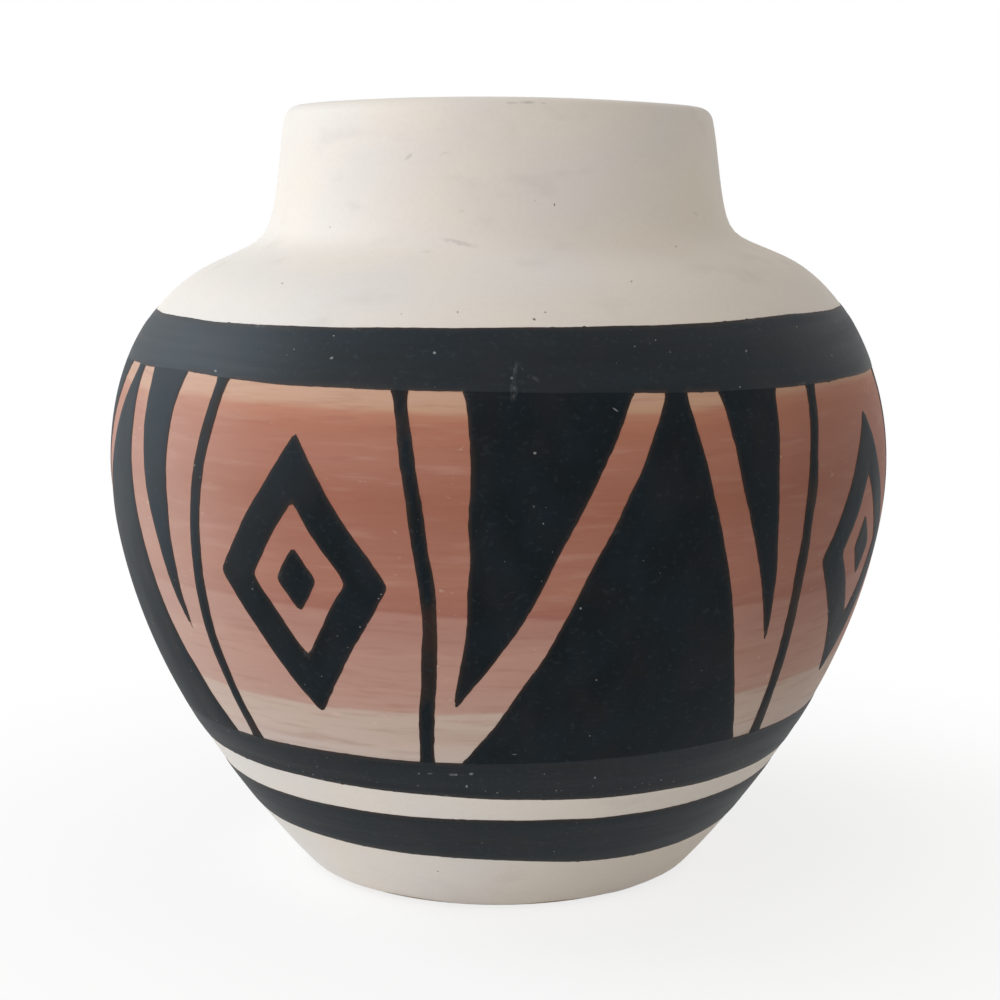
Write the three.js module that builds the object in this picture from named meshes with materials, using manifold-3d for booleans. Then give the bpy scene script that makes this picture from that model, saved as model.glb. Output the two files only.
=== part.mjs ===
// A small painted earthenware vase: a round, wide-mouthed jar with a short neck, slipped cream outside,
// glazed inside, with a terracotta belt between black bands and black figures painted over the belt.
//
// Millimetres, +Z up. The origin is the centre of the foot, on the table; +X is to the right and the
// front faces -Y. The jar is one fired clay body, and each coat that was laid on it is a solid of its own.

import * as THREE from "three";
import { mergeVertices } from "three/addons/utils/BufferGeometryUtils.js";
import Module from "manifold-3d";

const wasm = await Module();
wasm.setup();

// Clay body, outside. Radii and heights are of the bare clay, and a lean is in degrees from the vertical,
// positive where the wall opens upwards.
const FOOT_RADIUS = 27.3;
const FOOT_LEAN = 45.5;
const BELLY_RADIUS = 54.6;
const BELLY_HEIGHT = 57.8;
const SHOULDER_RADIUS = 40.7;
const SHOULDER_RISE = 27.8;
const SHOULDER_LEAN = -64.5;
const NECK_RADIUS = 31.5;
const NECK_ROOT_RISE = 7.8;
const NECK_LEAN = -13;
const NECK_LENGTH = 13.1;
const MOUTH_RADIUS = 29.5;
const LIP_ROUND = 1.55;

// How full the wall's curves are: how far each one keeps to its lean past a station, or before it, as a
// share of the straight line between its two stations.
const FOOT_FULLNESS = 0.13;
const FLANK_FULLNESS = 0.4;
const BELLY_FULLNESS = 0.53;
const SHOULDER_FULLNESS = 0.2;
const COVE_FULLNESS = 0.6;
const NECK_FULLNESS = 0.42;

// Clay body, inside and underneath. The vase stands on a ring round a shallow recess.
const WALL = 4.6;
const FLOOR = 6;
const FLOOR_RADIUS = 14;
const FLOOR_COVE = 14;
const FOOT_RING_WIDTH = 6.5;
const FOOT_RECESS = 1.4;
const FOOT_EDGE_ROUND = 0.9;

// Coats, from the clay outwards, and the seam left between one coat and the next.
const SLIP_COAT = 0.3;
const GLAZE_COAT = 0.3;
const WASH_COAT = 0.15;
const BLACK_COAT = 0.2;
const COAT_SEAM = 0.02;

// Where the coats end. The lower bands are set out from the foot up, the shoulder band from the shoulder
// down, and the belt takes the room between them.
const BARE_FOOT = 0.7;
const FOOT_BAND_START = 9.6;
const FOOT_BAND_WIDTH = 6.9;
const BAND_GAP = 3.7;
const WAIST_BAND_WIDTH = 5.5;
const SHOULDER_BAND_WIDTH = 6.9;
const SHOULDER_BAND_DROP = 5.6;

// Figures. Each repeat holds a leaning peak with a hanging tooth on either side, and half a repeat on, a
// lozenge with an open window and a small heart between two bowed lines.
const FIRST_PEAK_TURN = 18;
const PEAK_WIDTH = 36;
const PEAK_SET_OVER = 6;
const TOOTH_OVERHANG = 2;
const CHANNEL = 5;
const LOZENGE_WIDTH = 24;
const LOZENGE_CLEARANCE = 5.7;
const LOZENGE_BORDER = 4.6;
const HEART_CLEARANCE = 3;
const LINE_WIDTH = 1.8;
const BOW_STANDOFF = 3.6;
const BOW_DEPTH = 4;
const FIGURE_SPACING = 5;
const FIGURE_GAP = 0.1;

// Fineness of the faceted solids.
const SEGMENTS = 36;
const FLANK_ROWS = 6;
const SHOULDER_ROWS = 4;
const COVE_ROWS = 4;
const NECK_ROWS = 1;
const LIP_ROWS = 2;
const FLOOR_ROWS = 3;
const LEAST_ROW = 2.6;
const BOW_PIECES = 6;

const SHOULDER_HEIGHT = BELLY_HEIGHT + SHOULDER_RISE;
const NECK_HEIGHT = SHOULDER_HEIGHT + NECK_ROOT_RISE;
const MOUTH_HEIGHT = NECK_HEIGHT + NECK_LENGTH;

const SLIP_START = FOOT_EDGE_ROUND + BARE_FOOT;
const FOOT_BAND_END = FOOT_BAND_START + FOOT_BAND_WIDTH;
const WAIST_BAND_START = FOOT_BAND_END + BAND_GAP;
const WAIST_BAND_END = WAIST_BAND_START + WAIST_BAND_WIDTH;
const SHOULDER_BAND_END = SHOULDER_HEIGHT - SHOULDER_BAND_DROP;
const SHOULDER_BAND_START = SHOULDER_BAND_END - SHOULDER_BAND_WIDTH;
const BELT_WIDTH = SHOULDER_BAND_START - WAIST_BAND_END;

const CLAY = new THREE.MeshStandardMaterial({ color: "#c9a88c", roughness: 0.95, metalness: 0 });
const SLIP = new THREE.MeshStandardMaterial({ color: "#dbd4c9", roughness: 0.6, metalness: 0 });
const GLAZE = new THREE.MeshStandardMaterial({ color: "#e4ddd0", roughness: 0.15, metalness: 0 });
const WASH = new THREE.MeshStandardMaterial({ color: "#b0745c", roughness: 0.7, metalness: 0 });
const BLACK = new THREE.MeshStandardMaterial({ color: "#20252a", roughness: 0.5, metalness: 0 });

function xy(x, y) {
  return new THREE.Vector2(x, y);
}

// The outer wall: curves joined end to end from the foot to the mouth, each of which leaves and meets its
// stations along their leans.
function direction(lean) {
  const angle = THREE.MathUtils.degToRad(lean);
  return xy(Math.sin(angle), Math.cos(angle));
}

function wallCurve(from, to, firstFullness, lastFullness) {
  const start = xy(from.radius, from.height);
  const end = xy(to.radius, to.height);
  const chord = start.distanceTo(end);
  return new THREE.CubicBezierCurve(
    start,
    start.clone().addScaledVector(direction(from.lean), firstFullness * chord),
    end.clone().addScaledVector(direction(to.lean), -lastFullness * chord),
    end,
  );
}

const foot = { radius: FOOT_RADIUS, height: 0, lean: FOOT_LEAN };
const belly = { radius: BELLY_RADIUS, height: BELLY_HEIGHT, lean: 0 };
const shoulder = { radius: SHOULDER_RADIUS, height: SHOULDER_HEIGHT, lean: SHOULDER_LEAN };
const neck = { radius: NECK_RADIUS, height: NECK_HEIGHT, lean: NECK_LEAN };
const mouth = { radius: MOUTH_RADIUS, height: MOUTH_HEIGHT, lean: NECK_LEAN };

const wallStretches = [
  { curve: wallCurve(foot, belly, FOOT_FULLNESS, FLANK_FULLNESS), rows: FLANK_ROWS },
  { curve: wallCurve(belly, shoulder, BELLY_FULLNESS, SHOULDER_FULLNESS), rows: SHOULDER_ROWS },
  { curve: wallCurve(shoulder, neck, COVE_FULLNESS, NECK_FULLNESS), rows: COVE_ROWS },
  { curve: wallCurve(neck, mouth, 1 / 3, 1 / 3), rows: NECK_ROWS },
];

// The point of the outer wall at a height, with the direction that faces out of the clay there.
function wallAt(height) {
  const { curve } = wallStretches.find((stretch) => height <= stretch.curve.v3.y) ?? wallStretches.at(-1);
  let low = 0;
  let high = 1;
  for (let halving = 0; halving < 40; halving += 1) {
    const middle = (low + high) / 2;
    if (curve.getPoint(middle).y < height) low = middle;
    else high = middle;
  }
  const tangent = curve.getTangent(low);
  return { point: curve.getPoint(low), out: xy(tangent.y, -tangent.x) };
}

// Every row of the outer wall: one at each edge of a coat, and the curves' own. A curve's row that lies too
// close to such an edge gives way to it. All coats share these rows, so that they lie parallel.
const edgeHeights = [
  SLIP_START,
  FOOT_BAND_START,
  FOOT_BAND_END,
  WAIST_BAND_START,
  WAIST_BAND_END,
  SHOULDER_BAND_START,
  SHOULDER_BAND_END,
  MOUTH_HEIGHT,
];

const curveHeights = wallStretches.flatMap(({ curve, rows }) =>
  curve.getPoints(rows).slice(1).map(({ y }) => y),
);

const isClear = (height) => edgeHeights.every((edge) => Math.abs(edge - height) > LEAST_ROW);
const rowHeights = [...edgeHeights, ...curveHeights.filter(isClear)].sort((a, b) => a - b);
const wallRows = rowHeights.map((height) => ({ height, ...wallAt(height) }));

function rowsBetween(start, end) {
  return wallRows.filter(({ height }) => height >= start && height <= end);
}

// The lip: a level top between an outer and an inner round, which meet the wall's two faces.
const lipRound = Math.min(LIP_ROUND, 0.45 * WALL);
const lastRow = wallRows.at(-1);
const lipLean = Math.atan2(lastRow.out.y, lastRow.out.x);
const lipTop = (WALL - 2 * lipRound) / Math.cos(lipLean);
const outerRound = lastRow.point.clone().addScaledVector(lastRow.out, -lipRound);
const innerRound = outerRound.clone().setX(outerRound.x - lipTop);

function lipRows(centre, fromAngle, toAngle) {
  const rows = [];
  for (let row = 0; row <= LIP_ROWS; row += 1) {
    const angle = THREE.MathUtils.lerp(fromAngle, toAngle, row / LIP_ROWS);
    const out = xy(Math.cos(angle), Math.sin(angle));
    rows.push({ point: centre.clone().addScaledVector(out, lipRound), out });
  }
  return rows;
}

const outerLip = lipRows(outerRound, lipLean, Math.PI / 2).slice(1);
const innerLip = lipRows(innerRound, Math.PI / 2, Math.PI + lipLean);

// The inside: the outer wall set in by the wall's thickness, then a cove that runs out into the floor.
const insideWall = curveHeights
  .filter((height) => height < MOUTH_HEIGHT - LEAST_ROW)
  .map((height) => {
    const { point, out } = wallAt(height);
    return { point: point.addScaledVector(out, -WALL), out: out.negate() };
  })
  .filter(({ point }) => point.y > FLOOR + FLOOR_COVE)
  .reverse();

function coveRows() {
  const start = insideWall.at(-1);
  const down = xy(-start.out.y, start.out.x);
  const end = xy(FLOOR_RADIUS, FLOOR);
  const reach = start.point.distanceTo(end) / 3;
  const cove = new THREE.CubicBezierCurve(
    start.point,
    start.point.clone().addScaledVector(down, reach),
    xy(FLOOR_RADIUS + reach, FLOOR),
    end,
  );
  const rows = [];
  for (let row = 1; row <= FLOOR_ROWS; row += 1) {
    const tangent = cove.getTangent(row / FLOOR_ROWS);
    rows.push({ point: cove.getPoint(row / FLOOR_ROWS), out: xy(tangent.y, -tangent.x) });
  }
  return rows;
}

const floorCentre = { point: xy(0, FLOOR), out: xy(0, 1) };
const insideRows = [...innerLip, ...insideWall, ...coveRows(), floorCentre];

// A bowl or a ring turned round the upright axis from the outline of its section.
function turned(outline) {
  return new THREE.LatheGeometry(outline, SEGMENTS).rotateX(Math.PI / 2);
}

function clayBody() {
  const ringInside = FOOT_RADIUS - FOOT_RING_WIDTH;
  const outline = [
    xy(0, FOOT_RECESS),
    xy(ringInside - FOOT_RECESS, FOOT_RECESS),
    xy(ringInside, 0),
    xy(FOOT_RADIUS - FOOT_EDGE_ROUND / 2, 0),
    wallAt(FOOT_EDGE_ROUND).point,
    ...[...wallRows, ...outerLip, ...insideRows].map(({ point }) => point),
  ];
  return turned(outline);
}

// The two faces of a coat over a run of rows, at its depths above the clay.
function coatFaces(rows, depths) {
  return depths.map((depth) => rows.map(({ point, out }) => point.clone().addScaledVector(out, depth)));
}

function ringCoat(rows, depths) {
  const [under, over] = coatFaces(rows, depths);
  return turned([...over, ...under.reverse(), over[0].clone()]);
}

const slipDepths = [COAT_SEAM, SLIP_COAT];
const glazeDepths = [COAT_SEAM, GLAZE_COAT];
const washDepths = [SLIP_COAT + COAT_SEAM, SLIP_COAT + WASH_COAT];
const blackOnSlipDepths = [SLIP_COAT + COAT_SEAM, SLIP_COAT + BLACK_COAT];
const blackOnWashDepths = [SLIP_COAT + WASH_COAT + COAT_SEAM, SLIP_COAT + WASH_COAT + BLACK_COAT];

// The slip covers the outside and the outer round of the lip.
function slipCoat() {
  return ringCoat([...rowsBetween(SLIP_START, MOUTH_HEIGHT), ...outerLip], slipDepths);
}

// The glaze takes over there, crosses the top of the lip and lines the inside to the middle of the floor.
function glazeLining() {
  const crest = outerLip.at(-1);
  const start = { point: crest.point.clone().setX(crest.point.x - COAT_SEAM), out: crest.out };
  const [under, over] = coatFaces([start, ...insideRows], glazeDepths);
  return turned([...under.reverse(), ...over]);
}

// Figures. Each is drawn flat, x to the right of its own middle line and y up from the belt's lower edge.
// Those that run from band to band stop a hair short of them.
const FIGURE_TOP = BELT_WIDTH - FIGURE_GAP;
const peakTip = xy(PEAK_SET_OVER, FIGURE_TOP);
const toothReach = PEAK_WIDTH / 2 + TOOTH_OVERHANG;

// A tall triangle that stands on the waist band, with its tip set over to one side.
function peak() {
  return new THREE.Shape([xy(-PEAK_WIDTH / 2, FIGURE_GAP), xy(PEAK_WIDTH / 2, FIGURE_GAP), peakTip]);
}

// A tooth that hangs from the shoulder band beside the peak, with its far edge upright and its near edge a
// channel's width from the peak: -1 for the left, 1 for the right.
function tooth(side) {
  const run = side * (PEAK_WIDTH / 2) - peakTip.x;
  const rise = FIGURE_TOP - FIGURE_GAP;
  const near = peakTip.x + (side * CHANNEL * Math.hypot(run, rise)) / rise;
  const far = side * toothReach;
  return new THREE.Shape([
    xy(near, FIGURE_TOP),
    xy(far, FIGURE_TOP),
    xy(far, FIGURE_TOP - (rise * (far - near)) / run),
  ]);
}

const lozengeHalfWidth = LOZENGE_WIDTH / 2;
const lozengeHalfHeight = BELT_WIDTH / 2 - LOZENGE_CLEARANCE;
const lozengeEdge = Math.hypot(lozengeHalfWidth, lozengeHalfHeight);

// The corners of the lozenge, or of one with its edges set in by a distance.
function lozengeCorners(inset) {
  const share = 1 - (inset * lozengeEdge) / (lozengeHalfWidth * lozengeHalfHeight);
  const middle = BELT_WIDTH / 2;
  return [
    xy(share * lozengeHalfWidth, middle),
    xy(0, middle + share * lozengeHalfHeight),
    xy(-share * lozengeHalfWidth, middle),
    xy(0, middle - share * lozengeHalfHeight),
  ];
}

function lozenge() {
  const shape = new THREE.Shape(lozengeCorners(0));
  shape.holes.push(new THREE.Path(lozengeCorners(LOZENGE_BORDER)));
  return shape;
}

function heart() {
  return new THREE.Shape(lozengeCorners(LOZENGE_BORDER + HEART_CLEARANCE));
}

// A bowed line from band to band beside the lozenge: -1 for the left, 1 for the right.
const bowReach = lozengeHalfWidth + BOW_STANDOFF + LINE_WIDTH;

function bow(side) {
  const edge = (reach) => {
    const points = [];
    for (let piece = 0; piece <= BOW_PIECES; piece += 1) {
      const share = piece / BOW_PIECES;
      const drawnIn = BOW_DEPTH * (1 - Math.sin(Math.PI * share));
      points.push(xy(side * (reach - drawnIn), THREE.MathUtils.lerp(FIGURE_GAP, FIGURE_TOP, share)));
    }
    return points;
  };
  return new THREE.Shape([...edge(bowReach), ...edge(bowReach - LINE_WIDTH).reverse()]);
}

function manifoldOf(geometry) {
  const bare = geometry.clone();
  bare.deleteAttribute("normal");
  bare.deleteAttribute("uv");
  const merged = mergeVertices(bare);
  return new wasm.Manifold(
    new wasm.Mesh({
      numProp: 3,
      vertProperties: merged.attributes.position.array,
      triVerts: new Uint32Array(merged.index.array),
    }),
  );
}

function geometryOf(manifold) {
  const mesh = manifold.getMesh();
  const geometry = new THREE.BufferGeometry();
  geometry.setAttribute("position", new THREE.BufferAttribute(mesh.vertProperties, 3));
  geometry.setIndex(new THREE.BufferAttribute(mesh.triVerts, 1));
  geometry.computeVertexNormals();
  return geometry;
}

// A painted figure: what the shape, pushed straight in towards the axis at a turn from the front, cuts from
// a black coat that is laid all round the belt.
const beltRows = rowsBetween(WAIST_BAND_END, SHOULDER_BAND_START);
const blackBelt = manifoldOf(ringCoat(beltRows, blackOnWashDepths));

function figure(shape, turn) {
  const block = new THREE.ExtrudeGeometry(shape, { depth: 2 * BELLY_RADIUS, bevelEnabled: false });
  block.translate(0, WAIST_BAND_END, FOOT_RADIUS / 2);
  block.rotateX(Math.PI / 2);
  block.rotateZ(turn);
  return geometryOf(blackBelt.intersect(manifoldOf(block)));
}

const vase = new THREE.Group();

function add(name, geometry, material) {
  const mesh = new THREE.Mesh(geometry, material);
  mesh.name = name;
  vase.add(mesh);
}

add("clay_body", clayBody(), CLAY);
add("slip_coat", slipCoat(), SLIP);
add("glaze_lining", glazeLining(), GLAZE);
add("terracotta_belt", ringCoat(rowsBetween(WAIST_BAND_START, SHOULDER_BAND_END), washDepths), WASH);
add("shoulder_band", ringCoat(rowsBetween(SHOULDER_BAND_START, SHOULDER_BAND_END), blackOnWashDepths), BLACK);
add("waist_band", ringCoat(rowsBetween(WAIST_BAND_START, WAIST_BAND_END), blackOnWashDepths), BLACK);
add("foot_band", ringCoat(rowsBetween(FOOT_BAND_START, FOOT_BAND_END), blackOnSlipDepths), BLACK);

// As many repeats as fit round the belly, evenly spaced.
const repeatRoom = 2 * (toothReach + bowReach + FIGURE_SPACING);
const repeats = Math.floor((2 * Math.PI * BELLY_RADIUS) / repeatRoom);
const repeatTurn = (2 * Math.PI) / repeats;

for (let repeat = 0; repeat < repeats; repeat += 1) {
  const peakTurn = THREE.MathUtils.degToRad(FIRST_PEAK_TURN) + repeat * repeatTurn;
  const lozengeTurn = peakTurn + repeatTurn / 2;
  const number = repeat + 1;
  add(`peak_${number}`, figure(peak(), peakTurn), BLACK);
  add(`tooth_left_${number}`, figure(tooth(-1), peakTurn), BLACK);
  add(`tooth_right_${number}`, figure(tooth(1), peakTurn), BLACK);
  add(`lozenge_${number}`, figure(lozenge(), lozengeTurn), BLACK);
  add(`lozenge_heart_${number}`, figure(heart(), lozengeTurn), BLACK);
  add(`bow_left_${number}`, figure(bow(-1), lozengeTurn), BLACK);
  add(`bow_right_${number}`, figure(bow(1), lozengeTurn), BLACK);
}

export default vase;
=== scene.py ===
# A small painted earthenware vase: a round, wide-mouthed jar, slipped cream outside and glazed inside, with
# a brushed terracotta belt between black bands, and black figures painted over the belt by hand.
# Lengths here are millimetres until a mesh is made. The front faces -Y, and turns run from there to +X.

import math

import bpy
import numpy as np
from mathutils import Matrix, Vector


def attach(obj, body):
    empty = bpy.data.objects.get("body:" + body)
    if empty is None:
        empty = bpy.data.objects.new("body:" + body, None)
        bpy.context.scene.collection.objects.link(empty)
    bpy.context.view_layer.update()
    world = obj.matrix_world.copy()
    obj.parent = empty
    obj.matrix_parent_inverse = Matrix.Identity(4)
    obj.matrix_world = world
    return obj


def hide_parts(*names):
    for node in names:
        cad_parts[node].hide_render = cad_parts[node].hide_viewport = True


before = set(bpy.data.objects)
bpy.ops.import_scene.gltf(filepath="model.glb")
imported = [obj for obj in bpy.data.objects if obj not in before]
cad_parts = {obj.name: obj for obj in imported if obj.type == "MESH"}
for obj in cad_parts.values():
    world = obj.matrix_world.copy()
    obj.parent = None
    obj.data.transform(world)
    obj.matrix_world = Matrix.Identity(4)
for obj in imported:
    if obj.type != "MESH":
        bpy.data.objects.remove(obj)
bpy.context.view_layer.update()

MM = 0.001
TURN = 2 * math.pi
SAME_PLACE = 1e-6

# The clay's outer wall: radius, height and lean from the vertical at each station, and how far each curve
# keeps to its lean past the station below and before the one above.
FOOT = (27.3, 0.0, 45.5)
BELLY = (54.6, 57.8, 0.0)
SHOULDER = (40.7, 85.6, -64.5)
NECK = (31.5, 93.4, -13.0)
MOUTH = (29.5, 106.5, -13.0)
WALL_CURVES = [
    (FOOT, BELLY, 0.13, 0.4),
    (BELLY, SHOULDER, 0.53, 0.2),
    (SHOULDER, NECK, 0.6, 0.42),
    (NECK, MOUTH, 0.33, 0.33),
]

WALL = 4.6
LIP_ROUND = 1.55
LIP_OUTER_ROUND = 2.4
FLOOR = 6.0
FLOOR_RADIUS = 14.0
FLOOR_COVE = 14.0
FOOT_RING_WIDTH = 6.5
FOOT_RECESS = 1.4
FOOT_EDGE_ROUND = 0.9

# Depths of the coats off the clay. Each starts a hair above the one beneath.
HAIR = 0.01
SLIP = 0.28
GLAZE = 0.28
WASH = 0.05
BANDED_BLACK = 0.09
FIGURE_BLACK = 0.08

# Heights of the coats' edges.
SLIP_START = 0.75
FOOT_BAND = (9.6, 16.5)
WAIST_BAND = (20.2, 25.7)
SHOULDER_BAND = (73.1, 80.0)
BELT = (WAIST_BAND[1], SHOULDER_BAND[0])
BELT_WIDTH = BELT[1] - BELT[0]

# The figures of the belt.
REPEATS = 4
FIRST_PEAK_TURN = math.radians(18)
PEAK_WIDTH = 36.0
PEAK_SET_OVER = 6.0
TIP_WIDTH = 1.4
TOOTH_OVERHANG = 2.0
CHANNEL = 5.0
LOZENGE_WIDTH = 24.0
LOZENGE_CLEARANCE = 5.7
LOZENGE_BORDER = 4.6
HEART_CLEARANCE = 3.0
LINE_WIDTH = 1.8
BOW_STANDOFF = 3.6
BOW_DEPTH = 4.0

# The figures run on under the bands by so much.
OVER_THE_EDGE = 2.0
TIP_OVER_THE_EDGE = 0.8


# The clay's section

CURVE_POINTS = 240
ARC_POINTS = 24
FLOOR_POINTS = 30


def lean_direction(lean):
    """The way up a wall that leans outwards by so many degrees."""
    return np.array([math.sin(math.radians(lean)), math.cos(math.radians(lean))])


def curve(p0, p1, p2, p3):
    t = np.linspace(0, 1, CURVE_POINTS)[:, None]
    return (1 - t) ** 3 * p0 + 3 * (1 - t) ** 2 * t * p1 + 3 * (1 - t) * t**2 * p2 + t**3 * p3


def wall_curve(below, above, keep_below, keep_above):
    """The stretch of the wall from one station to the next, leaning at each end as the station does."""
    start, end = np.array(below[:2]), np.array(above[:2])
    chord = np.linalg.norm(end - start)
    return curve(start, start + lean_direction(below[2]) * keep_below * chord,
                 end - lean_direction(above[2]) * keep_above * chord, end)


def run_along(points):
    """How far along a line of points each of them lies."""
    steps = np.linalg.norm(np.diff(points, axis=0), axis=1)
    return np.concatenate([[0], np.cumsum(steps)])


def outward(points):
    """The way straight out of the clay at each point of the section."""
    tangent = np.gradient(points, run_along(points), axis=0)
    tangent /= np.linalg.norm(tangent, axis=1)[:, None]
    return np.stack([tangent[:, 1], -tangent[:, 0]], axis=1)


def joined(*parts):
    """Lines of points in a row, without the points that meet."""
    points = np.concatenate(parts)
    apart = np.linalg.norm(np.diff(points, axis=0), axis=1) > SAME_PLACE
    return points[np.concatenate([[True], apart])]


def arc(centre, radius, start, end):
    angle = np.linspace(start, end, ARC_POINTS)
    return centre + radius * np.stack([np.cos(angle), np.sin(angle)], axis=1)


outer_wall = joined(*[wall_curve(*stretch) for stretch in WALL_CURVES])
lip_lean = math.radians(-MOUTH[2])
lip_start = MOUTH[1] - (LIP_OUTER_ROUND - LIP_ROUND) * (1 - math.sin(lip_lean))
outer_wall = outer_wall[outer_wall[:, 1] < lip_start]
wall_out = outward(outer_wall)
outer_lip = outer_wall[-1] - LIP_OUTER_ROUND * wall_out[-1]
inner_lip_height = outer_lip[1] + LIP_OUTER_ROUND - LIP_ROUND
across_the_wall = WALL - LIP_ROUND + (inner_lip_height - outer_wall[-1][1]) * math.sin(lip_lean)
inner_lip = np.array([outer_wall[-1][0] - across_the_wall / math.cos(lip_lean), inner_lip_height])
inner_wall = (outer_wall - WALL * wall_out)[::-1]
inner_wall = inner_wall[inner_wall[:, 1] > FLOOR + FLOOR_COVE]
down = inner_wall[-1] - inner_wall[-2]
down /= np.linalg.norm(down)
floor_edge = np.array([FLOOR_RADIUS, FLOOR])
cove_reach = np.linalg.norm(inner_wall[-1] - floor_edge) / 3

# The whole outline, from the foot's edge up the outside, over the lip and down to the floor's middle.
outline = joined(
    outer_wall,
    arc(outer_lip, LIP_OUTER_ROUND, lip_lean, math.pi / 2),
    arc(inner_lip, LIP_ROUND, math.pi / 2, math.pi + lip_lean),
    inner_wall,
    curve(inner_wall[-1], inner_wall[-1] + down * cove_reach, floor_edge + [cove_reach, 0], floor_edge),
    np.linspace(floor_edge, [0, FLOOR], FLOOR_POINTS),
)
outline_run = run_along(outline)
outline_out = outward(outline)
wall_run = run_along(outer_wall)
LIP_CREST = wall_run[-1] + LIP_OUTER_ROUND * (math.pi / 2 - lip_lean)
FLOOR_MIDDLE = outline_run[-1]

# Rows of points lie close together over the lip, from outside its crest to inside it.
LIP_ROWS_OUTSIDE = 4.6
LIP_ROWS_INSIDE = 3.6
LIP_ROW_STEP = 0.3
LIP_ROWS = LIP_CREST + np.arange(-LIP_ROWS_OUTSIDE, LIP_ROWS_INSIDE, LIP_ROW_STEP)


def run_at(height):
    """The run up the outer wall to a height."""
    return np.interp(height, outer_wall[:, 1], wall_run)


def on_outline(run):
    """Radius and height at a run along the outline, and those of the way out of the clay there."""
    return [np.interp(run, outline_run, values[:, k]) for values in (outline, outline_out) for k in (0, 1)]


# The unevenness of handwork

RIPPLE_RADIUS = 50.0
RIPPLE_WAVES = 28
WAVELENGTH_SPREAD = (0.7, 1.5)

# How far the wall sways in and out, over what length, how much more slowly round the jar, and how far it is
# set in to make room for that. The sway grows from nothing above the foot, and dies away below the lip.
SWAY = 0.035
SWAY_LENGTH = 34
SWAY_STRETCH = 1.6
SET_IN = 0.08
SWAY_START = 4
SWAY_GROWS_OVER = 12
SWAY_DIES_OVER = 6

# Where the wall was pushed: how far, the height of its middle, and the reach above and below that.
FLANK_OUT = (0.22, 27, 24)
SHOULDER_UP = (0.5, 86, 17)
HOLLOW_DOWN = (0.5, 92, 7)

# How far the lip is worn down, over what run to either side of its crest, how it wavers and over what
# length, how much lower it is at both sides, and how much more so on the right and less on the left.
LIP_WORN = 0.26
LIP_WORN_REACH = 11
LIP_WAVER = 0.05
LIP_WAVER_LENGTH = 70
LIP_LOW_AT_SIDES = 0.6
LIP_LOW_ON_RIGHT = 0.2


def ripple(seed, wavelength, angle, run, stretch=1.0):
    """A random field of about unit size, seamless round the jar; stretch lengthens it round the jar."""
    random = np.random.default_rng(seed)
    total = np.zeros(np.broadcast(angle, run).shape)
    for _ in range(RIPPLE_WAVES):
        heading = random.uniform(0, math.pi)
        pitch = TURN / (wavelength * random.uniform(*WAVELENGTH_SPREAD))
        turns = round(pitch * math.cos(heading) * RIPPLE_RADIUS / stretch)
        phase = random.uniform(0, TURN)
        total += np.cos(turns * angle + pitch * math.sin(heading) * run + phase)
    return total * math.sqrt(2 / RIPPLE_WAVES)


def uneven(seed, angle, run, *ripples):
    """Ripples of several kinds added up. Each is given as how far it goes and its wavelength."""
    return sum(most * ripple(seed + i, length, angle, run) for i, (most, length) in enumerate(ripples))


def swell(height, most, middle, reach):
    """So much at the middle height, falling smoothly to 0 at a reach above and below it."""
    near = np.clip(1 - np.abs(height - middle) / reach, 0, 1)
    return most * (near * near * (3 - 2 * near))


def sway(angle, run, height):
    """How far the wall stands off a true turned one. It isn't quite round, and its flank is a little
    fuller."""
    grown = np.clip((run - SWAY_START) / SWAY_GROWS_OVER, 0, 1)
    grown = grown * np.clip((wall_run[-1] - run) / SWAY_DIES_OVER, 0, 1)
    swaying = SWAY * ripple(3, SWAY_LENGTH, angle, run, stretch=SWAY_STRETCH) - SET_IN
    on_outside = run < wall_run[-1]
    return grown * swaying + on_outside * swell(height, *FLANK_OUT)


def shoulder_tilt(angle, run, height):
    """How far the shoulder is up on the right, where the wall was pushed as it dried. The hollow under the
    neck is pressed down there."""
    side = np.sin(angle)
    return side * swell(height, *SHOULDER_UP) - np.clip(side, 0, 1) ** 2 * swell(height, *HOLLOW_DOWN)


def lip_dip(angle, run):
    """How far the lip is worn and fettled below its full height. It falls away to both sides."""
    near = np.clip(1 - np.abs(run - LIP_CREST) / LIP_WORN_REACH, 0, 1) ** 2
    worn = LIP_WORN + LIP_WAVER * ripple(5, LIP_WAVER_LENGTH, angle, 0 * run)
    fall = LIP_LOW_AT_SIDES * np.sin(angle) ** 2 + LIP_LOW_ON_RIGHT * np.sin(angle)
    return near * (worn + fall)


def in_space(angle, run, depth):
    """Where a place on the jar is, from its turn, its run along the outline and its depth off the clay."""
    radius, height, out_radius, out_height = on_outline(run)
    reach = radius + depth * out_radius + sway(angle, run, height)
    lift = shoulder_tilt(angle, run, height) - lip_dip(angle, run)
    return np.stack([
        reach * np.sin(angle),
        -reach * np.cos(angle),
        height + depth * out_height + lift,
    ], axis=-1)


# Making meshes

def make_piece(name, points, faces, material, nodes, sharp=50):
    """A piece of the jar from its points in millimetres. Edges that turn by more degrees than sharp stay
    crisp."""
    mesh = bpy.data.meshes.new(name)
    mesh.from_pydata((np.asarray(points) * MM).tolist(), [], faces)
    mesh.materials.append(material)
    mesh.shade_smooth()
    mesh.set_sharp_from_angle(angle=math.radians(sharp))
    thing = bpy.data.objects.new(name, mesh)
    bpy.context.collection.objects.link(thing)
    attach(thing, "root")
    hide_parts(*nodes)
    return thing


def ring_faces(columns, rows, closed):
    """Quads between rows of points round the jar; a closed set joins the last row to the first."""
    return [
        (i * rows + j, (i + 1) % columns * rows + j, (i + 1) % columns * rows + (j + 1) % rows,
         i * rows + (j + 1) % rows)
        for i in range(columns) for j in range(rows if closed else rows - 1)
    ]


SKIN_COLUMNS = 180
SKIN_FEWEST_ROWS = 8
skin_angles = np.linspace(0, TURN, SKIN_COLUMNS, endpoint=False)[:, None]

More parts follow.
